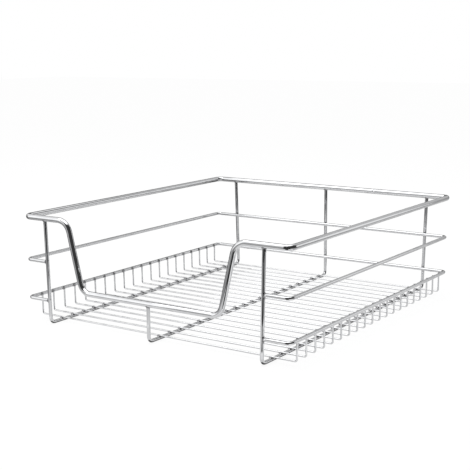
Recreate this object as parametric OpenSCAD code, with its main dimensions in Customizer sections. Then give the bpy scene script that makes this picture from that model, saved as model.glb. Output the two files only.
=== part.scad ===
// Pull-out wire basket for a kitchen base cabinet.
// A thick rim rod that dips at the front for the hand, two U-shaped side rails, three
// runners whose ends rise as uprights, and a row of thin floor wires with upturned ends.
// Every piece is round bent wire, and the pieces are welded where they touch.
// The origin is the centre of the footprint, on the surface that the runners stand on.
// +Z is up, and the front of the basket faces -Y.

/* [Overall] */
// Width over the outsides of the rim's two sides
basket_w = 438; // [338:10:638]
// Depth over the outsides of the rim's front and back
basket_depth = 478; // [378:10:578]
// Height from the ground to the top of the rim
basket_h = 154; // [134:5:224]

/* [Rim] */
// Diameter of the rim rod
rim_d = 8; // [6:0.5:10]
// Bend radius of the rim's four corners
rim_corner_r = 9; // [7:1:20]

/* [Front dip] */
// Height of the dip bar above the ground
dip_bar_z = 53; // [45:1:70]
// Distance in from the rim's side to the dip's upper corner
dip_inset = 77; // [72:1:120]
// How far each sloping post of the dip leans in, from its upper to its lower corner
dip_lean = 24; // [10:1:40]
// Bend radius of the dip's two upper corners
dip_top_r = 20; // [16:1:24]
// Bend radius of the dip's two lower corners
dip_bottom_r = 16; // [12:1:24]

/* [Runners and uprights] */
// Diameter of the wire of the runners and uprights
upright_d = 5; // [4:0.5:6]
// Distance in from the rim's side to the tops of the outer uprights
upright_inset = 36; // [30:1:40]
// How far each outer upright leans out, from its runner to the rim
upright_lean = 4; // [0:0.5:8]
// Bend radius between a runner and its uprights
runner_bend_r = 7.5; // [6:0.5:12]

/* [Side rails] */
// Diameter of the wire of the two side rails
rail_d = 5; // [4:0.5:6]
// Height of the middle rail above the ground
mid_rail_z = 89; // [75:1:110]
// Height of the lower rail above the ground
lower_rail_z = 34; // [25:1:45]
// Bend radius of the rails' corners
rail_corner_r = 7; // [6:1:14]

/* [Floor] */
// Diameter of the floor wires
floor_wire_d = 2.5; // [2:0.1:3.5]
// Number of floor wires
floor_wire_count = 20; // [12:1:28]
// Distance from the rim's front or back to the nearest floor wire
floor_margin = 22; // [20:1:40]
// Bend radius between a floor wire and its end legs
leg_bend_r = 3; // [2.5:0.5:6]
// How far the tip of each end leg stands above the middle of the lower rail
leg_tip_rise = 1.5; // [0:0.5:2.5]

/* [Welds] */
// How far a weld presses one wire into the other
weld_set = 0.3; // [0.1:0.1:0.5]

/* [Hidden] */
$fn = 48;

// Every position below, and every height, inset and bend radius above, is measured on
// the centreline of the wire.

// Rim
side_x = (basket_w - rim_d) / 2;
back_y = (basket_depth - rim_d) / 2;
front_y = -back_y;
rim_z = basket_h - rim_d / 2;

// Sloping posts of the dip: length from corner to corner, and angle below the horizontal
post_length = norm([dip_lean, rim_z - dip_bar_z]);
post_turn = atan2(rim_z - dip_bar_z, dip_lean);

// Runners, and the angle at which the outer uprights lean
runner_z = upright_d / 2;
outer_runner_x = side_x - upright_inset - upright_lean;
lean_angle = atan2(upright_lean, rim_z - runner_z);

// Side rails: they butt against the outer sides of the front uprights and pass inside
// the rear ones
rail_back_y = back_y - (upright_d + rail_d) / 2 + weld_set;

// Floor wires: they lie on the runners, and their legs stand inside the lower rail
floor_wire_z = upright_d + floor_wire_d / 2 - weld_set;
leg_x = side_x - (rail_d + floor_wire_d) / 2 + weld_set;
leg_length = lower_rail_z + leg_tip_rise - floor_wire_z;
floor_pitch = (back_y - front_y - 2 * floor_margin) / (floor_wire_count - 1);

// Where the two ends of the rim rod meet, in the back between two uprights
rim_seam_x = outer_runner_x / 2;

// How far a swell stands proud of its wire, and the gap in the wire that it fills
swell_rise = 0.02;
swell_gap = 0.1;

// Name of the floor wire with number i, counted from the front
function floor_wire_name(i) = str("floor_wire_", i < 10 ? "0" : "", i);

// Length that a bend takes off each of the two straight runs that it joins
function setback(turn, radius) = radius * tan(turn / 2);

// Where an upright stands at height z. side is -1 on the left, 0 in the middle and 1 on
// the right.
function upright_x(side, z) = side * (outer_runner_x + (z - runner_z) * tan(lean_angle));

// A ball a hair wider than its wire, which joins a sloping run to the bend before it and
// closes the ring of the rim
module swell(d) {
    sphere(d = d + 2 * swell_rise);
}

// A bend in a wire that runs along +Z: the wire leaves the origin towards +X
module bend(turn, radius, d) {
    translate([radius, 0, 0])
        rotate([90, 0, 180])
            rotate_extrude(angle = turn)
                translate([radius, 0])
                    circle(d = d);
}

// A round wire as a wire bender makes it, from the origin along +Z. Each step is
// [feed, roll, turn, radius]: feed a straight run, roll the wire about its own length,
// then bend it towards its own +X. The first gap of a run is left to a swell.
module wire(steps, d, i = 0, gap = 0) {
    feed = steps[i][0];
    roll = steps[i][1];
    turn = steps[i][2];
    radius = steps[i][3];
    next_gap = turn == 90 ? 0 : swell_gap;
    translate([0, 0, gap])
        cylinder(h = feed - gap, d = d);
    if (i < len(steps) - 1) {
        translate([0, 0, feed])
            rotate([0, 0, roll]) {
                bend(turn, radius, d);
                translate([radius, 0, 0])
                    rotate([0, turn, 0])
                        translate([-radius, 0, 0]) {
                            if (next_gap > 0) {
                                swell(d);
                            }
                            wire(steps, d, i + 1, next_gap);
                        }
            }
    }
}

// Steps for a wire bent into a U, measured between its corners
function u_steps(first_run, base, last_run, radius) = [
    [first_run - radius, 0, 90, radius],
    [base - 2 * radius, 0, 90, radius],
    [last_run - radius, 0, 0, 0]
];

// A short straight length of wire, centred on a point, along X or Y
module length_x(at, d) {
    translate(at)
        rotate([0, 90, 0])
            cylinder(h = 2 * d, d = d, center = true);
}

module length_y(at, d) {
    translate(at)
        rotate([90, 0, 0])
            cylinder(h = 2 * d, d = d, center = true);
}

// A short straight length of an upright, at height z
module length_upright(side, y, z) {
    translate([upright_x(side, z), y, z])
        rotate([0, side * lean_angle, 0])
            cylinder(h = 2 * upright_d, d = upright_d, center = true);
}

// One closed rod round the top, which dips at the front
module rim() {
    r = rim_corner_r;
    top_setback = setback(post_turn, dip_top_r);
    bottom_setback = setback(post_turn, dip_bottom_r);
    side_run = back_y - front_y - 2 * r;
    shoulder_run = dip_inset - r - top_setback;
    post_run = post_length - top_setback - bottom_setback;
    bar_run = 2 * (side_x - dip_inset - dip_lean - bottom_setback);
    steps = [
        [side_x - rim_seam_x - r, 0, 90, r],
        [side_run, 0, 90, r],
        [shoulder_run, 90, post_turn, dip_top_r],
        [post_run, 180, post_turn, dip_bottom_r],
        [bar_run, 0, post_turn, dip_bottom_r],
        [post_run, 180, post_turn, dip_top_r],
        [shoulder_run, -90, 90, r],
        [side_run, 0, 90, r],
        [side_x + rim_seam_x - r - swell_gap, 0, 0, 0]
    ];
    color("gainsboro")
        translate([rim_seam_x, back_y, rim_z])
            rotate([-90, 0, -90]) {
                wire(steps, rim_d);
                swell(rim_d);
            }
}

// A U-shaped rail at height z, open at the front and seated on the uprights
module side_rail(z) {
    r = rail_corner_r;
    end_x = upright_x(1, z) + upright_d / 2 - weld_set;
    front_run = side_x - end_x - r;
    side_run = rail_back_y - front_y - 2 * r;
    steps = [
        [front_run, 0, 90, r],
        [side_run, 0, 90, r],
        [2 * (side_x - r), 0, 90, r],
        [side_run, 0, 90, r],
        [front_run, 0, 0, 0]
    ];
    difference() {
        translate([end_x, front_y, z])
            rotate([90, 0, 90])
                wire(steps, rail_d);
        for (side = [-1, 1]) {
            length_upright(side, front_y, z);
        }
        for (side = [-1:1]) {
            length_upright(side, back_y, z);
        }
    }
}

module mid_rail() {
    color("silver")
        side_rail(mid_rail_z);
}

module lower_rail() {
    color("silver")
        side_rail(lower_rail_z);
}

// A front upright, the runner under the floor and a rear upright, all one wire. The
// front upright reaches the rim at height front_z.
module runner(side, front_z) {
    lean = side * lean_angle;
    front_length = (front_z - runner_z) / cos(lean);
    back_length = (rim_z - runner_z) / cos(lean);
    steps = u_steps(front_length, back_y - front_y, back_length, runner_bend_r);
    difference() {
        translate([upright_x(side, runner_z), front_y, runner_z])
            rotate([0, lean, 0])
                translate([0, 0, front_length])
                    rotate([180, 0, 90])
                        wire(steps, upright_d);
        length_x([upright_x(side, front_z), front_y, front_z], rim_d);
        length_x([upright_x(side, rim_z), back_y, rim_z], rim_d);
    }
}

module left_runner() {
    color("silver")
        runner(-1, rim_z);
}

module middle_runner() {
    color("silver")
        runner(0, dip_bar_z);
}

module right_runner() {
    color("silver")
        runner(1, rim_z);
}

// Floor wire number i from the front
module floor_wire(i) {
    y = front_y + floor_margin + (i - 1) * floor_pitch;
    steps = u_steps(leg_length, 2 * leg_x, leg_length, leg_bend_r);
    color("whitesmoke")
        difference() {
            translate([-leg_x, y, floor_wire_z + leg_length])
                rotate([180, 0, 0])
                    wire(steps, floor_wire_d);
            for (side = [-1:1]) {
                length_y([upright_x(side, runner_z), y, runner_z], upright_d);
            }
            for (x = [-side_x, side_x]) {
                length_y([x, y, lower_rail_z], rail_d);
            }
        }
}

rim();
mid_rail();
lower_rail();
left_runner();
middle_runner();
right_runner();
for (i = [1:floor_wire_count]) {
    floor_wire(i);
}
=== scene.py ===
"""Looks of the pull-out wire basket: its chromed wires, their welds, the studio, the camera.

Lengths are in metres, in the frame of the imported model: the origin is the centre of the
footprint on the ground, +Z is up, and the front of the basket faces -Y.
"""

import math

import bmesh
import bpy
import numpy as np
from mathutils import Matrix, Vector, noise


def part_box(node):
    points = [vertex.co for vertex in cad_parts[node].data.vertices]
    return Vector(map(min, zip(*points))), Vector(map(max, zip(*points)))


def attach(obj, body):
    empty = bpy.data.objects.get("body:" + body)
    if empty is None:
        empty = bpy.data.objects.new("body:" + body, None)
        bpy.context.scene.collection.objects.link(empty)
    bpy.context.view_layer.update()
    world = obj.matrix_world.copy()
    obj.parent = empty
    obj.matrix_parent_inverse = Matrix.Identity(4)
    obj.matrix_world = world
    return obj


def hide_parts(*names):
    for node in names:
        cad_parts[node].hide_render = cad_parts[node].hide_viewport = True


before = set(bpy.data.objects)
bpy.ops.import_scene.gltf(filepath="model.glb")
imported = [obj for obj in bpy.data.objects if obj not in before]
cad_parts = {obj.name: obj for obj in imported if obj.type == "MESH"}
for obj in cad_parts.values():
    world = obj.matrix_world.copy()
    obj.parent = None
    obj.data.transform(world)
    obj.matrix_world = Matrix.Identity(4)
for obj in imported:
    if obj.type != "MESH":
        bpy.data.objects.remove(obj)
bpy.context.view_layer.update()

# ---- Sizes of the wires ----------------------------------------------------------------

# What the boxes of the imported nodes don't tell. part.scad has the same values.
RIM_R = 0.004
RIM_CORNER_R = 0.009
RIM_SEAM_X = 0.0875

DIP_INSET = 0.077
DIP_LEAN = 0.024
DIP_TOP_R = 0.020
DIP_BOTTOM_R = 0.016

UPRIGHT_LEAN = 0.004
RUNNER_BEND_R = 0.0075

RAIL_CORNER_R = 0.007

LEG_BEND_R = 0.003

WELD_SET = 0.0003

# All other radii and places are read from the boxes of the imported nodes
RIM_LOW, RIM_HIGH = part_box("rim")
SIDE_X = RIM_HIGH.x - RIM_R
FRONT_Y = RIM_LOW.y + RIM_R
BACK_Y = -FRONT_Y
RIM_Z = RIM_HIGH.z - RIM_R
DIP_Z = RIM_LOW.z + RIM_R

RUNNER_LOW, RUNNER_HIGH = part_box("middle_runner")
RUNNER_R = RUNNER_HIGH.x
RUNNER_Z = RUNNER_LOW.z + RUNNER_R
OUTER_RUNNER_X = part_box("right_runner")[0].x + RUNNER_R

RAIL_LOW, RAIL_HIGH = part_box("mid_rail")
RAIL_R = (RAIL_HIGH.z - RAIL_LOW.z) / 2
RAIL_BACK_Y = RAIL_HIGH.y - RAIL_R
RAIL_Z = {name: sum(corner.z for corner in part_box(name)) / 2 for name in ("mid_rail", "lower_rail")}

FLOOR_NODES = sorted(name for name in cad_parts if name.startswith("floor_wire_"))
FLOOR_LOW, FLOOR_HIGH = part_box(FLOOR_NODES[0])
FLOOR_R = (FLOOR_HIGH.y - FLOOR_LOW.y) / 2
FLOOR_Z = FLOOR_LOW.z + FLOOR_R
LEG_X = FLOOR_HIGH.x - FLOOR_R
LEG_TIP_Z = FLOOR_HIGH.z
FLOOR_Y = {name: sum(corner.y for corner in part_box(name)) / 2 for name in FLOOR_NODES}

# ---- How the wires are meshed ----------------------------------------------------------

RING_STEP = 0.004
ARC_STEP = math.radians(6)
RIM_SIDES = 32
WIRE_SIDES = 24
THIN_SIDES = 16

# Drawn wire is never quite straight or quite round. The seed is set because noise_vector
# would otherwise start from the clock.
NOISE_SEED = 7
WANDER = 0.00002
WANDER_PER_METRE = 14
THINNING = 0.00004
THINNING_SWING = 0.4
THINNING_PER_METRE = 45

# Where in the noise each use of it reads, and each kind of wire, so that no two are alike
WANDER_ROW = 0.5
THINNING_ROW = 7.5
WELD_ROW = 1.5
WELD_STRIDE = 3.7
RIM_SEED = 1.5
RAIL_SEED = 11.5
RUNNER_SEED = 21.5
FLOOR_SEED = 31.5

# Broken edges: their depth at a cut end and at the rim's seam, and the share of that depth
# at which their middle ring lies
CUT_CHAMFER = 0.0003
SEAM_CHAMFER = 0.0001
CHAMFER_MIDDLE = 0.3

# ---- Paths -----------------------------------------------------------------------------


def straight_run(start, end):
    """Points from start to end, without the end, about one ring step apart."""
    count = max(1, round((end - start).length / RING_STEP))
    return [start.lerp(end, i / count) for i in range(count)]


def arc(corner, before, after, radius):
    """Where the bend at a corner starts, its points, and where it ends."""
    turn = before.angle(after)
    setback = radius * math.tan(turn / 2)
    start = corner - before * setback
    inward = (after - before * before.dot(after)).normalized()
    centre = start + inward * radius
    count = max(2, round(turn / ARC_STEP))
    angles = [turn * i / count for i in range(count)]
    points = [centre - inward * radius * math.cos(a) + before * radius * math.sin(a) for a in angles]
    return start, points, corner + after * setback


def bent_path(corners, radii):
    """The centreline of a wire that runs straight between corners and bends round them."""
    path = []
    here = corners[0]
    for previous, corner, following, radius in zip(corners, corners[1:], corners[2:], radii):
        before = (corner - previous).normalized()
        after = (following - corner).normalized()
        start, points, end = arc(corner, before, after, radius)
        path += straight_run(here, start) + points
        here = end
    return path + straight_run(here, corners[-1]) + [corners[-1]]


def upright_x(side, z):
    """Where an upright stands at height z. side is -1 on the left, 0 in the middle, 1 right."""
    return side * (OUTER_RUNNER_X + UPRIGHT_LEAN * (z - RUNNER_Z) / (RIM_Z - RUNNER_Z))


def rail_end_x(z):
    """Where a rail's end butts against the outer side of a front upright."""
    return upright_x(1, z) + RUNNER_R - WELD_SET


def rim_corners():
    """The rim's corners, once round from the seam in its back."""
    upper_x = SIDE_X - DIP_INSET
    lower_x = upper_x - DIP_LEAN
    return [
        Vector((RIM_SEAM_X, BACK_Y, RIM_Z)),
        Vector((SIDE_X, BACK_Y, RIM_Z)),
        Vector((SIDE_X, FRONT_Y, RIM_Z)),
        Vector((upper_x, FRONT_Y, RIM_Z)),
        Vector((lower_x, FRONT_Y, DIP_Z)),
        Vector((-lower_x, FRONT_Y, DIP_Z)),
        Vector((-upper_x, FRONT_Y, RIM_Z)),
        Vector((-SIDE_X, FRONT_Y, RIM_Z)),
        Vector((-SIDE_X, BACK_Y, RIM_Z)),
        Vector((RIM_SEAM_X, BACK_Y, RIM_Z)),
    ]


def rail_corners(z):
    """The corners of a side rail at height z, from its right front end to its left one."""
    end_x = rail_end_x(z)
    return [
        Vector((end_x, FRONT_Y, z)),
        Vector((SIDE_X, FRONT_Y, z)),
        Vector((SIDE_X, RAIL_BACK_Y, z)),
        Vector((-SIDE_X, RAIL_BACK_Y, z)),
        Vector((-SIDE_X, FRONT_Y, z)),
        Vector((-end_x, FRONT_Y, z)),
    ]


def runner_corners(side, front_z):
    """A front upright that reaches the rim at height front_z, a runner and a rear upright."""
    return [
        Vector((upright_x(side, front_z), FRONT_Y, front_z)),
        Vector((upright_x(side, RUNNER_Z), FRONT_Y, RUNNER_Z)),
        Vector((upright_x(side, RUNNER_Z), BACK_Y, RUNNER_Z)),
        Vector((upright_x(side, RIM_Z), BACK_Y, RIM_Z)),
    ]


def floor_corners(y):
    """A floor wire and its two end legs."""
    return [
        Vector((-LEG_X, y, LEG_TIP_Z)),
        Vector((-LEG_X, y, FLOOR_Z)),
        Vector((LEG_X, y, FLOOR_Z)),
        Vector((LEG_X, y, LEG_TIP_Z)),
    ]


# ---- Swept wires -----------------------------------------------------------------------


def lengths_along(path):
    """How far along the path each of its points lies."""
    steps = [0.0] + [(b - a).length for a, b in zip(path, path[1:])]
    return list(np.cumsum(steps))


def wandering(path, seed):
    """The path moved off its line by a hair, as drawn and bent wire is."""
    moved = []
    for point, along in zip(path, lengths_along(path)):
        offset = noise.noise_vector(Vector((along * WANDER_PER_METRE, seed, WANDER_ROW)))
        moved.append(point + offset * WANDER)
    return moved


def cross_frames(path):
    """Two directions square to the path at each of its points, turning as little as they can."""
    chords = [(b - a).normalized() for a, b in zip(path, path[1:])]
    middle = [(a + b).normalized() for a, b in zip(chords, chords[1:])]
    tangents = [chords[0]] + middle + [chords[-1]]
    side = tangents[0].orthogonal().normalized()
    frames = []
    for tangent in tangents:
        side = (side - tangent * side.dot(tangent)).normalized()
        frames.append((side, tangent.cross(side)))
    return frames


def with_cut_ends(path, chamfer):
    """The path with rings added near its ends, so that the cut edges can be broken."""
    first = (path[1] - path[0]).normalized()
    last = (path[-2] - path[-1]).normalized()
    distances = (0.0, chamfer * CHAMFER_MIDDLE, chamfer)
    head = [path[0] + first * d for d in distances]
    tail = [path[-1] + last * d for d in reversed(distances)]
    return head + path[1:-1] + tail


def sweep(name, path, radius, sides, seed, chamfer=CUT_CHAMFER):
    """A closed round wire along a path, with broken edges at its two cut ends."""
    path = with_cut_ends(wandering(path, seed), chamfer)
    along = lengths_along(path)
    verts, coords = [], []
    for i, (centre, s, (side, up)) in enumerate(zip(path, along, cross_frames(path))):
        swing = noise.noise(Vector((s * THINNING_PER_METRE, seed, THINNING_ROW)))
        r = radius - THINNING * (1 + THINNING_SWING * swing)
        from_end = min(i, len(path) - 1 - i)
        if from_end == 0:
            r -= chamfer
        elif from_end == 1:
            r -= chamfer * CHAMFER_MIDDLE
        for k in range(sides):
            angle = 2 * math.pi * k / sides
            ring = side * (r * math.cos(angle)) + up * (r * math.sin(angle))
            verts.append(centre + ring)
            coords.append((s, r * math.cos(angle), r * math.sin(angle)))
    return wire_mesh(name, verts, coords, len(path), sides)


def wire_mesh(name, verts, coords, rings, sides):
    """Closes the rings of points into a tube with a flat fan of triangles at each end."""
    faces = []
    for i in range(rings - 1):
        for k in range(sides):
            a = i * sides + k
            b = i * sides + (k + 1) % sides
            faces.append((a, b, b + sides, a + sides))
    for ring, turn in ((0, -1), (rings - 1, 1)):
        centre = len(verts)
        rim = [ring * sides + k for k in range(sides)]
        verts.append(sum((verts[v] for v in rim), Vector()) / sides)
        coords.append((coords[rim[0]][0], 0.0, 0.0))
        for a, b in zip(rim, rim[1:] + rim[:1]):
            faces.append((centre, a, b)[::turn])
    mesh = bpy.data.meshes.new(name)
    mesh.from_pydata(verts, [], faces)
    caps = 2 * sides
    smooth = [True] * (len(faces) - caps) + [False] * caps
    mesh.polygons.foreach_set("use_smooth", smooth)
    layer = mesh.attributes.new("wire_co", "FLOAT_VECTOR", "POINT")
    layer.data.foreach_set("vector", np.array(coords, np.float32).ravel())
    return linked(name, mesh)


def linked(name, mesh):
    """An object in the scene that holds the mesh."""
    mesh.update()
    obj = bpy.data.objects.new(name, mesh)
    bpy.context.scene.collection.objects.link(obj)
    return obj


def make_rim():
    half = [RIM_CORNER_R, RIM_CORNER_R, DIP_TOP_R, DIP_BOTTOM_R]
    path = bent_path(rim_corners(), half + half[::-1])
    return sweep("rim_rod", path, RIM_R, RIM_SIDES, RIM_SEED, SEAM_CHAMFER)


def make_rail(node, seed):
    path = bent_path(rail_corners(RAIL_Z[node]), [RAIL_CORNER_R] * 4)
    return sweep(node + "_wire", path, RAIL_R, WIRE_SIDES, seed)


def make_runner(node, side, front_z, seed):
    corners = runner_corners(side, front_z)
    path = bent_path(corners, [RUNNER_BEND_R] * 2)
    return sweep(node + "_wire", path, RUNNER_R, WIRE_SIDES, seed)


def make_floor_wire(node, seed):
    path = bent_path(floor_corners(FLOOR_Y[node]), [LEG_BEND_R] * 2)
    return sweep(node.replace("floor", "cross"), path, FLOOR_R, THIN_SIDES, seed)


# ---- Welds -----------------------------------------------------------------------------

# A bead lies a hair under the fill that it is shaped from. The other values are how finely
# it is divided and measured, and by how much one bead's fill differs from the next.
WELD_INSET = 0.00008
WELD_FINENESS = 4
WELD_HALVINGS = 18
WELD_VARIETY = 0.25

# How far above the rod's underside the beads of the rim have their centres, and how far
# the wires of a joint go on
RIM_BITE = 0.001
FAR = 0.05


def wire_distance(points, start, end, radius):
    """How far outside a round wire with flat ends each point lies; inside is negative."""
    start = np.array(start)
    axis = np.array(end) - start
    length = np.linalg.norm(axis)
    axis /= length
    offset = points - start
    t = offset @ axis
    radial = np.linalg.norm(offset - t[:, None] * axis, axis=1) - radius
    return np.maximum(radial, np.maximum(-t, t - length))


def smooth_union(points, wires, blend):
    """The distance to two wires, with the corner between them filled as molten metal does."""
    a, b = (wire_distance(points, *wire) for wire in wires)
    share = np.maximum(blend - np.abs(a - b), 0.0) / blend
    return np.minimum(a, b) - share * share * blend / 4


def weld_points(directions, centre, wires, blend, reach):
    """The bead's surface: where each ray from the joint leaves the filled wires."""
    centre = np.array(centre)
    near = np.zeros(len(directions))
    far = np.full(len(directions), reach)
    for _ in range(WELD_HALVINGS):
        middle = (near + far) / 2
        inside = smooth_union(centre + directions * middle[:, None], wires, blend) < -WELD_INSET
        near = np.where(inside, middle, near)
        far = np.where(inside, far, middle)
    return centre + directions * near[:, None]


def unit_sphere():
    """Directions and triangles of an evenly divided ball, which each bead is shaped from."""
    ball = bmesh.new()
    bmesh.ops.create_icosphere(ball, subdivisions=WELD_FINENESS, radius=1.0)
    ball.verts.ensure_lookup_table()
    directions = np.array([v.co.normalized() for v in ball.verts])
    triangles = [tuple(v.index for v in f.verts) for f in ball.faces]
    ball.free()
    return directions, triangles


def make_welds(name, joints, blend, reach):
    """One piece with a bead at each joint. A joint is its centre and its two wires.

    blend is how widely the corner between the wires is filled, and reach is the most that
    a bead can extend from its centre.
    """
    directions, triangles = unit_sphere()
    verts, faces = [], []
    for number, (centre, wires) in enumerate(joints):
        variety = noise.noise(Vector((number * WELD_STRIDE, blend * 1000, WELD_ROW)))
        own_blend = blend * (1 + WELD_VARIETY * variety)
        first = len(verts)
        verts += weld_points(directions, centre, wires, own_blend, reach).tolist()
        faces += [tuple(first + i for i in t) for t in triangles]
    mesh = bpy.data.meshes.new(name)
    mesh.from_pydata(verts, [], faces)
    mesh.polygons.foreach_set("use_smooth", [True] * len(faces))
    return linked(name, mesh)


def through(point, direction, radius):
    """A wire that passes through a point and goes on both ways."""
    return tuple(point - direction * FAR), tuple(point + direction * FAR), radius


def up_to(point, direction, radius):
    """A wire that comes along a direction and ends at a point."""
    return tuple(point - direction * FAR), tuple(point), radius


X, Y, Z = Vector((1, 0, 0)), Vector((0, 1, 0)), Vector((0, 0, 1))


def floor_joints():
    """Where the floor wires lie on the runners."""
    joints = []
    contact_z = (RUNNER_Z + RUNNER_R + FLOOR_Z - FLOOR_R) / 2
    for y in FLOOR_Y.values():
        for side in (-1, 0, 1):
            x = upright_x(side, RUNNER_Z)
            runner = through(Vector((x, y, RUNNER_Z)), Y, RUNNER_R)
            cross = through(Vector((x, y, FLOOR_Z)), X, FLOOR_R)
            joints.append((Vector((x, y, contact_z)), (runner, cross)))
    return joints


def leg_joints():
    """Where the floor wires' legs stand against the lower rail."""
    joints = []
    z = RAIL_Z["lower_rail"]
    contact_x = (SIDE_X - RAIL_R + LEG_X + FLOOR_R) / 2
    for y in FLOOR_Y.values():
        for side in (-1, 1):
            rail = through(Vector((side * SIDE_X, y, z)), Y, RAIL_R)
            leg = up_to(Vector((side * LEG_X, y, LEG_TIP_Z)), Z, FLOOR_R)
            joints.append((Vector((side * contact_x, y, z)), (rail, leg)))
    return joints


def rail_joints():
    """Where the side rails meet the uprights."""
    joints = []
    for z in RAIL_Z.values():
        for side in (-1, 1):
            end = Vector((side * rail_end_x(z), FRONT_Y, z))
            upright = through(Vector((upright_x(side, z), FRONT_Y, z)), Z, RUNNER_R)
            rail = up_to(end, -side * X, RAIL_R)
            joints.append((end + side * X * (WELD_SET / 2), (upright, rail)))
        for side in (-1, 0, 1):
            x = upright_x(side, z)
            upright = through(Vector((x, BACK_Y, z)), Z, RUNNER_R)
            rail = through(Vector((x, RAIL_BACK_Y, z)), X, RAIL_R)
            contact_y = (BACK_Y - RUNNER_R + RAIL_BACK_Y + RAIL_R) / 2
            joints.append((Vector((x, contact_y, z)), (upright, rail)))
    return joints


def rim_joints():
    """Where the uprights end under the rim."""
    joints = []
    tops = [(-1, FRONT_Y, RIM_Z), (0, FRONT_Y, DIP_Z), (1, FRONT_Y, RIM_Z)]
    tops += [(side, BACK_Y, RIM_Z) for side in (-1, 0, 1)]
    for side, y, z in tops:
        top = Vector((upright_x(side, z), y, z))
        rod = through(top, X, RIM_R)
        upright = up_to(top, Z, RUNNER_R)
        joints.append((top - Z * (RIM_R - RIM_BITE), (rod, upright)))
    return joints


# ---- Materials -------------------------------------------------------------------------

# Noise scales of the plate's clouds and haze, of the fine lines of the drawn wire, which
# are stretched along it, and of the welds' ripple
CLOUD_SCALE = 70
HAZE_SCALE = 420
LINE_SCALE = 1600
LINE_STRETCH = (0.04, 1.0, 1.0)
RIPPLE_SCALE = 900

# Depths of the plate's faint orange peel and of that ripple, and the ripple's two colours
PEEL_DEPTH = 0.00002
RIPPLE_DEPTH = 0.00008
# The ripple's two colours are darker than the drawn wire's: partly the weld metal's own duller plate,
# and partly painted shade of the crease between the wires.
WELD_DARK_PAINTED_SHADE = (0.13, 0.13, 0.135)
WELD_BRIGHT_PAINTED_SHADE = (0.44, 0.44, 0.45)


def new_material(name):
    """A material, its nodes, its links and its shader."""
    material = bpy.data.materials.new(name)
    material.use_nodes = True
    nodes = material.node_tree.nodes
    return material, nodes, material.node_tree.links, nodes["Principled BSDF"]


def math_node(nodes, links, operation, first, second):
    """One step of arithmetic on two inputs, each a number or the output of a node."""
    node = nodes.new("ShaderNodeMath")
    node.operation = operation
    for socket, value in zip(node.inputs, (first, second)):
        if isinstance(value, (int, float)):
            socket.default_value = value
        else:
            links.new(value, socket)
    return node.outputs[0]


def noise_node(nodes, links, vector, scale, detail=2.0, roughness=0.5):
    node = nodes.new("ShaderNodeTexNoise")
    node.inputs["Scale"].default_value = scale
    node.inputs["Detail"].default_value = detail
    node.inputs["Roughness"].default_value = roughness
    links.new(vector, node.inputs["Vector"])
    return node.outputs["Fac"]


def ramp_node(nodes, links, value, stops):
    """A colour ramp between two stops, each (position, colour)."""
    node = nodes.new("ShaderNodeValToRGB")
    for element, (position, colour) in zip(node.color_ramp.elements, stops):
        element.position = position
        element.color = (*colour, 1.0)
    links.new(value, node.inputs["Fac"])
    return node.outputs["Color"]


def map_range(nodes, links, value, low, high):
    node = nodes.new("ShaderNodeMapRange")
    links.new(value, node.inputs["Value"])
    node.inputs["To Min"].default_value = low
    node.inputs["To Max"].default_value = high
    return node.outputs["Result"]


def chrome(name, bright, dull, smooth, rough, draw_depth):
    """Bright chrome plate over drawn wire.

    bright and dull are its colours, smooth and rough its least and greatest roughness, and
    draw_depth is how deep the fine lines of the drawn wire still show through the plate.
    """
    material, nodes, links, shader = new_material(name)
    shader.inputs["Metallic"].default_value = 1.0
    coords = nodes.new("ShaderNodeTexCoord").outputs["Object"]
    along = nodes.new("ShaderNodeAttribute")
    along.attribute_name = "wire_co"
    stretch = nodes.new("ShaderNodeMapping")
    stretch.inputs["Scale"].default_value = LINE_STRETCH
    links.new(along.outputs["Vector"], stretch.inputs["Vector"])

    clouds = noise_node(nodes, links, coords, CLOUD_SCALE, detail=3)
    haze = noise_node(nodes, links, coords, HAZE_SCALE, detail=4, roughness=0.6)
    lines = noise_node(nodes, links, stretch.outputs["Vector"], LINE_SCALE)

    colour = ramp_node(nodes, links, clouds, [(0.3, dull), (0.6, bright)])
    links.new(colour, shader.inputs["Base Color"])
    mixed = math_node(nodes, links, "MULTIPLY", clouds, haze)
    links.new(map_range(nodes, links, mixed, smooth, rough), shader.inputs["Roughness"])

    peel = nodes.new("ShaderNodeBump")
    peel.inputs["Strength"].default_value = 0.5
    peel.inputs["Distance"].default_value = PEEL_DEPTH
    links.new(haze, peel.inputs["Height"])
    bump = nodes.new("ShaderNodeBump")
    bump.inputs["Strength"].default_value = 0.5
    bump.inputs["Distance"].default_value = draw_depth
    links.new(lines, bump.inputs["Height"])
    links.new(peel.outputs["Normal"], bump.inputs["Normal"])
    links.new(bump.outputs["Normal"], shader.inputs["Normal"])
    return material


def weld_chrome_painted_shade():
    """Plated weld metal: rippled, duller than the drawn wire, and darker, partly from its own plate
    and partly from painted shade of the crease between the wires.
    """
    material, nodes, links, shader = new_material("weld_chrome_painted_shade")
    shader.inputs["Metallic"].default_value = 1.0
    coords = nodes.new("ShaderNodeTexCoord").outputs["Object"]
    ripple = noise_node(nodes, links, coords, RIPPLE_SCALE, detail=4, roughness=0.6)
    colour = ramp_node(nodes, links, ripple, [(0.35, WELD_DARK_PAINTED_SHADE), (0.65, WELD_BRIGHT_PAINTED_SHADE)])
    links.new(colour, shader.inputs["Base Color"])
    links.new(map_range(nodes, links, ripple, 0.12, 0.38), shader.inputs["Roughness"])
    bump = nodes.new("ShaderNodeBump")
    bump.inputs["Strength"].default_value = 0.6
    bump.inputs["Distance"].default_value = RIPPLE_DEPTH
    links.new(ripple, bump.inputs["Height"])
    links.new(bump.outputs["Normal"], shader.inputs["Normal"])
    return material


def dress(obj, material, node=None):
    """Gives a piece its material and its body, and hides the CAD node that it stands for."""
    obj.data.materials.append(material)
    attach(obj, "root")
    if node:
        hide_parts(node)


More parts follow.
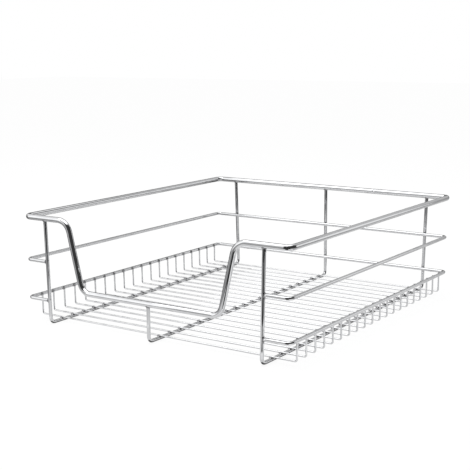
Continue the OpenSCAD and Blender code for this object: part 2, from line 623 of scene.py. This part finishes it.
def make_rim_finish():
    return chrome(
        "rim_chrome",
        bright=(0.74, 0.745, 0.755),
        dull=(0.68, 0.685, 0.70),
        smooth=0.02,
        rough=0.08,
        draw_depth=0.000006,
    )


def make_wire_finish():
    return chrome(
        "frame_chrome",
        bright=(0.72, 0.725, 0.735),
        dull=(0.66, 0.665, 0.68),
        smooth=0.02,
        rough=0.10,
        draw_depth=0.000008,
    )


def make_thin_finish():
    return chrome(
        "floor_chrome",
        bright=(0.74, 0.745, 0.755),
        dull=(0.68, 0.685, 0.70),
        smooth=0.03,
        rough=0.12,
        draw_depth=0.000006,
    )


def make_wires():
    """The 26 wires, each in the place of its CAD node."""
    rim_finish = make_rim_finish()
    wire_finish = make_wire_finish()
    thin_finish = make_thin_finish()
    dress(make_rim(), rim_finish, "rim")
    for number, node in enumerate(RAIL_Z):
        rail = make_rail(node, RAIL_SEED + number)
        dress(rail, wire_finish, node)
    places = (("left_runner", -1, RIM_Z), ("middle_runner", 0, DIP_Z), ("right_runner", 1, RIM_Z))
    for number, (node, side, front_z) in enumerate(places):
        runner = make_runner(node, side, front_z, RUNNER_SEED + number)
        dress(runner, wire_finish, node)
    for number, node in enumerate(FLOOR_NODES):
        floor_wire = make_floor_wire(node, FLOOR_SEED + number)
        dress(floor_wire, thin_finish, node)


def make_beads():
    """The filled welds where the wires touch."""
    finish = weld_chrome_painted_shade()
    floor = make_welds("floor_welds", floor_joints(), blend=0.0025, reach=0.0050)
    dress(floor, finish)
    legs = make_welds("leg_welds", leg_joints(), blend=0.0020, reach=0.0045)
    dress(legs, finish)
    rails = make_welds("rail_welds", rail_joints(), blend=0.0020, reach=0.0055)
    dress(rails, finish)
    rim = make_welds("rim_welds", rim_joints(), blend=0.0016, reach=0.0062)
    dress(rim, finish)


# ---- Studio ----------------------------------------------------------------------------

FLOOR_HALF = 8.0
WHITE = (1.0, 1.0, 1.0, 1.0)
FLOOR_COLOUR = (0.90, 0.90, 0.90, 1.0)
FLOOR_WHITENESS = 0.86

# The world: how bright it lights the basket, and how bright it is where it is seen
WORLD_LIGHT = 1.0
WORLD_SEEN = 1.0

# Cards: degrees from corner to corner, height above the table, the walls' distance, and
# the inner and outer radius of each ring of the table
CARD_STEP = 10
CARD_LIFT = 0.0006
WALL_DISTANCE = 3.0
UNDER_RING = (0.02, 0.31)
NEAR_RING = (0.31, 0.45)
MID_RING = (0.45, 0.80)
FAR_RING = (0.80, 3.0)

# Shade under the runners: its height above the table, half its width, its brightness
SHADE_LIFT = 0.0008
SHADE_HALF = 0.005
SHADE_BRIGHTNESS = 0.12

SOFTBOX_AT = (-0.3, -0.2, 1.5)
SOFTBOX_SIZE = 1.6
SOFTBOX_POWER = 11.0


def seen_directly(nodes, links):
    """1 for what the camera sees, also in a mirror or through glass, and 0 for other light."""
    path = nodes.new("ShaderNodeLightPath").outputs
    seen = math_node(nodes, links, "ADD", path["Is Camera Ray"], path["Is Glossy Ray"])
    seen = math_node(nodes, links, "ADD", seen, path["Is Transmission Ray"])
    return math_node(nodes, links, "MINIMUM", seen, 1.0)


def floor_material():
    """Pale floor that reads as the white background and keeps the basket's shadow."""
    material, nodes, links, shader = new_material("studio_floor")
    shader.inputs["Base Color"].default_value = FLOOR_COLOUR
    shader.inputs["Roughness"].default_value = 1.0
    shader.inputs["Specular IOR Level"].default_value = 0.0
    glow = nodes.new("ShaderNodeEmission")
    glow.inputs["Color"].default_value = WHITE
    mix = nodes.new("ShaderNodeMixShader")
    share = math_node(nodes, links, "MULTIPLY", seen_directly(nodes, links), FLOOR_WHITENESS)
    links.new(share, mix.inputs["Fac"])
    links.new(shader.outputs["BSDF"], mix.inputs[1])
    links.new(glow.outputs["Emission"], mix.inputs[2])
    links.new(mix.outputs["Shader"], nodes["Material Output"].inputs["Surface"])
    return material


def make_floor():
    mesh = bpy.data.meshes.new("studio_floor")
    corners = [(x * FLOOR_HALF, y * FLOOR_HALF, 0.0) for x, y in ((-1, -1), (1, -1), (1, 1), (-1, 1))]
    mesh.from_pydata(corners, [], [(0, 1, 2, 3)])
    floor = linked("studio_floor", mesh)
    mesh.materials.append(floor_material())


def make_world():
    """Plain white light from all round, and white where it is seen."""
    world = bpy.data.worlds.new("studio_world")
    bpy.context.scene.world = world
    world.use_nodes = True
    nodes, links = world.node_tree.nodes, world.node_tree.links
    light = nodes["Background"]
    light.inputs["Color"].default_value = WHITE
    light.inputs["Strength"].default_value = WORLD_LIGHT
    seen = nodes.new("ShaderNodeBackground")
    seen.inputs["Color"].default_value = WHITE
    seen.inputs["Strength"].default_value = WORLD_SEEN
    mix = nodes.new("ShaderNodeMixShader")
    links.new(seen_directly(nodes, links), mix.inputs["Fac"])
    links.new(light.outputs["Background"], mix.inputs[1])
    links.new(seen.outputs["Background"], mix.inputs[2])
    links.new(mix.outputs["Shader"], nodes["World Output"].inputs["Surface"])


def bearing(azimuth):
    """A level direction from the basket. Azimuth 0 is the back, 90 the right, 180 the front."""
    a = math.radians(azimuth)
    return Vector((math.sin(a), math.cos(a), 0.0))


def card_material(name, brightness):
    """Plain even light, as bright on the whole of the card."""
    material, nodes, links, shader = new_material(name)
    nodes.remove(shader)
    glow = nodes.new("ShaderNodeEmission")
    glow.inputs["Color"].default_value = (brightness, brightness, brightness, 1.0)
    links.new(glow.outputs["Emission"], nodes["Material Output"].inputs["Surface"])
    return material


def arc_strip(azimuths, inner, outer):
    """Corners and faces of a strip round the basket. inner and outer are (radius, height)."""
    steps = max(1, math.ceil(abs(azimuths[1] - azimuths[0]) / CARD_STEP))
    verts = []
    for i in range(steps + 1):
        azimuth = azimuths[0] + (azimuths[1] - azimuths[0]) * i / steps
        for radius, height in (inner, outer):
            verts.append(bearing(azimuth) * radius + Z * height)
    return verts, [(2 * i, 2 * i + 1, 2 * i + 3, 2 * i + 2) for i in range(steps)]


def make_card(name, strip, brightness):
    """A card that only the chrome sees: a painted reflection, as the chrome sees the flags and walls
    of a real studio.
    """
    mesh = bpy.data.meshes.new(name)
    verts, faces = strip
    mesh.from_pydata(verts, [], faces)
    card = linked(name, mesh)
    mesh.materials.append(card_material(name, brightness))
    card.visible_camera = False
    card.visible_shadow = False
    card.visible_diffuse = False


def make_wall(name, azimuths, elevations, brightness):
    """An upright card. azimuths and elevations are where it starts and ends, in degrees."""
    low, high = (WALL_DISTANCE * math.tan(math.radians(e)) for e in elevations)
    make_card(name, arc_strip(azimuths, (WALL_DISTANCE, low), (WALL_DISTANCE, high)), brightness)


def make_table_card(name, azimuths, radii, brightness):
    """A card that lies on the table, in a ring round the basket."""
    make_card(name, arc_strip(azimuths, (radii[0], CARD_LIFT), (radii[1], CARD_LIFT)), brightness)


def make_walls():
    """The room: dark at the right, brightest at the front left and high on the left."""
    make_wall("wall_right", (48, 190), (-1, 60), 0.05)
    make_wall("wall_front_low", (190, 214), (-1, 18), 0.45)
    make_wall("wall_front", (190, 214), (18, 60), 0.90)
    # Painted highlight: a card brighter than white, seen only in the chrome, that lights nothing.
    make_wall("wall_front_left_painted_highlight", (214, 240), (-1, 60), 1.35)
    make_wall("wall_left_low", (240, 300), (-1, 20), 0.33)
    make_wall("wall_left_high", (240, 300), (20, 44), 0.95)
    make_wall("wall_back_left", (300, 336), (-1, 62), 0.17)
    make_wall("wall_back_low", (-24, 18), (-1, 16), 0.12)
    make_wall("wall_back", (-24, 24), (16, 44), 0.60)
    make_wall("wall_back_right", (18, 27), (-1, 16), 0.40)
    make_wall("wall_back_right_high", (24, 48), (26, 60), 0.15)
    make_wall("wall_right_low", (40, 48), (-1, 26), 0.90)


def make_table_cards():
    """The table as only the chrome sees it: lit under the basket, with the basket's painted shade
    there, dimmer further out, and a painted reflection of the photographer, dark where the
    photographer stands.
    """
    # Painted shade: the basket's shade on the table under it, on a card that only the chrome sees.
    make_table_card("table_under_painted_shade", (0, 360), UNDER_RING, 0.82)
    make_table_card("table_left", (240, 288), NEAR_RING, 0.10)
    make_table_card("table_back_left", (288, 360), NEAR_RING, 0.50)
    make_table_card("table_back", (0, 24), NEAR_RING, 0.15)
    make_table_card("table_back_right", (24, 72), NEAR_RING, 0.65)
    make_table_card("table_right", (72, 120), NEAR_RING, 0.50)
    make_table_card("table_front", (150, 240), (0.33, 0.45), 0.70)
    make_table_card("mid_back_right", (0, 48), MID_RING, 0.60)
    make_table_card("mid_right", (48, 128), MID_RING, 0.40)
    # Painted reflection of the photographer: dark cards on the table that only the chrome sees.
    make_table_card("photographer_near_painted_reflection", (138, 150), (0.345, 0.45), 0.04)
    make_table_card("photographer_painted_reflection", (128, 166), MID_RING, 0.04)
    make_table_card("mid_front_left", (166, 240), MID_RING, 0.33)
    make_table_card("mid_left", (240, 360), MID_RING, 0.10)
    make_table_card("far_back_right", (0, 48), FAR_RING, 0.40)
    make_table_card("far_right", (48, 192), FAR_RING, 0.03)
    make_table_card("far_front_left", (192, 240), FAR_RING, 0.50)
    make_table_card("far_left", (240, 360), FAR_RING, 0.10)


def make_runner_shade():
    """The shade on the table under each runner, which the chrome of the wires mirrors."""
    for side, name in ((-1, "shade_left"), (0, "shade_middle"), (1, "shade_right")):
        x = upright_x(side, RUNNER_Z)
        left, right = x - SHADE_HALF, x + SHADE_HALF
        front, back = FRONT_Y - RUNNER_R, BACK_Y + RUNNER_R
        corners = ((left, front), (right, front), (right, back), (left, back))
        verts = [(x, y, SHADE_LIFT) for x, y in corners]
        make_card(name, (verts, [(0, 1, 2, 3)]), SHADE_BRIGHTNESS)


def make_softbox():
    """One large soft light above the basket."""
    lamp = bpy.data.lights.new("softbox", "AREA")
    lamp.shape = "SQUARE"
    lamp.size = SOFTBOX_SIZE
    lamp.energy = SOFTBOX_POWER
    softbox = bpy.data.objects.new("softbox", lamp)
    softbox.location = SOFTBOX_AT
    bpy.context.scene.collection.objects.link(softbox)


# ---- Camera ----------------------------------------------------------------------------

CAMERA_AT = Vector((0.8234, -1.2445, 0.3859))
CAMERA_YAW = 0.5970
CAMERA_PITCH = -0.1845
CAMERA_ROLL = -0.0072
CAMERA_LENS = 78.895
CAMERA_NEAR = 0.01
SENSOR = 36.0


def make_camera():
    """The photograph's view. Yaw turns left from +Y, pitch is above the horizon."""
    camera = bpy.data.cameras.new("camera")
    camera.lens = CAMERA_LENS
    camera.sensor_width = SENSOR
    camera.clip_start = CAMERA_NEAR
    obj = bpy.data.objects.new("camera", camera)
    yaw = Matrix.Rotation(CAMERA_YAW, 4, "Z")
    pitch = Matrix.Rotation(math.pi / 2 + CAMERA_PITCH, 4, "X")
    roll = Matrix.Rotation(CAMERA_ROLL, 4, "Z")
    obj.matrix_world = Matrix.Translation(CAMERA_AT) @ yaw @ pitch @ roll
    bpy.context.scene.collection.objects.link(obj)
    bpy.context.scene.camera = obj


# ---- Scene -----------------------------------------------------------------------------

bpy.context.scene.view_settings.view_transform = "Standard"
noise.seed_set(NOISE_SEED)
make_camera()
make_wires()
make_beads()
make_floor()
make_world()
make_walls()
make_table_cards()
make_runner_shade()
make_softbox()
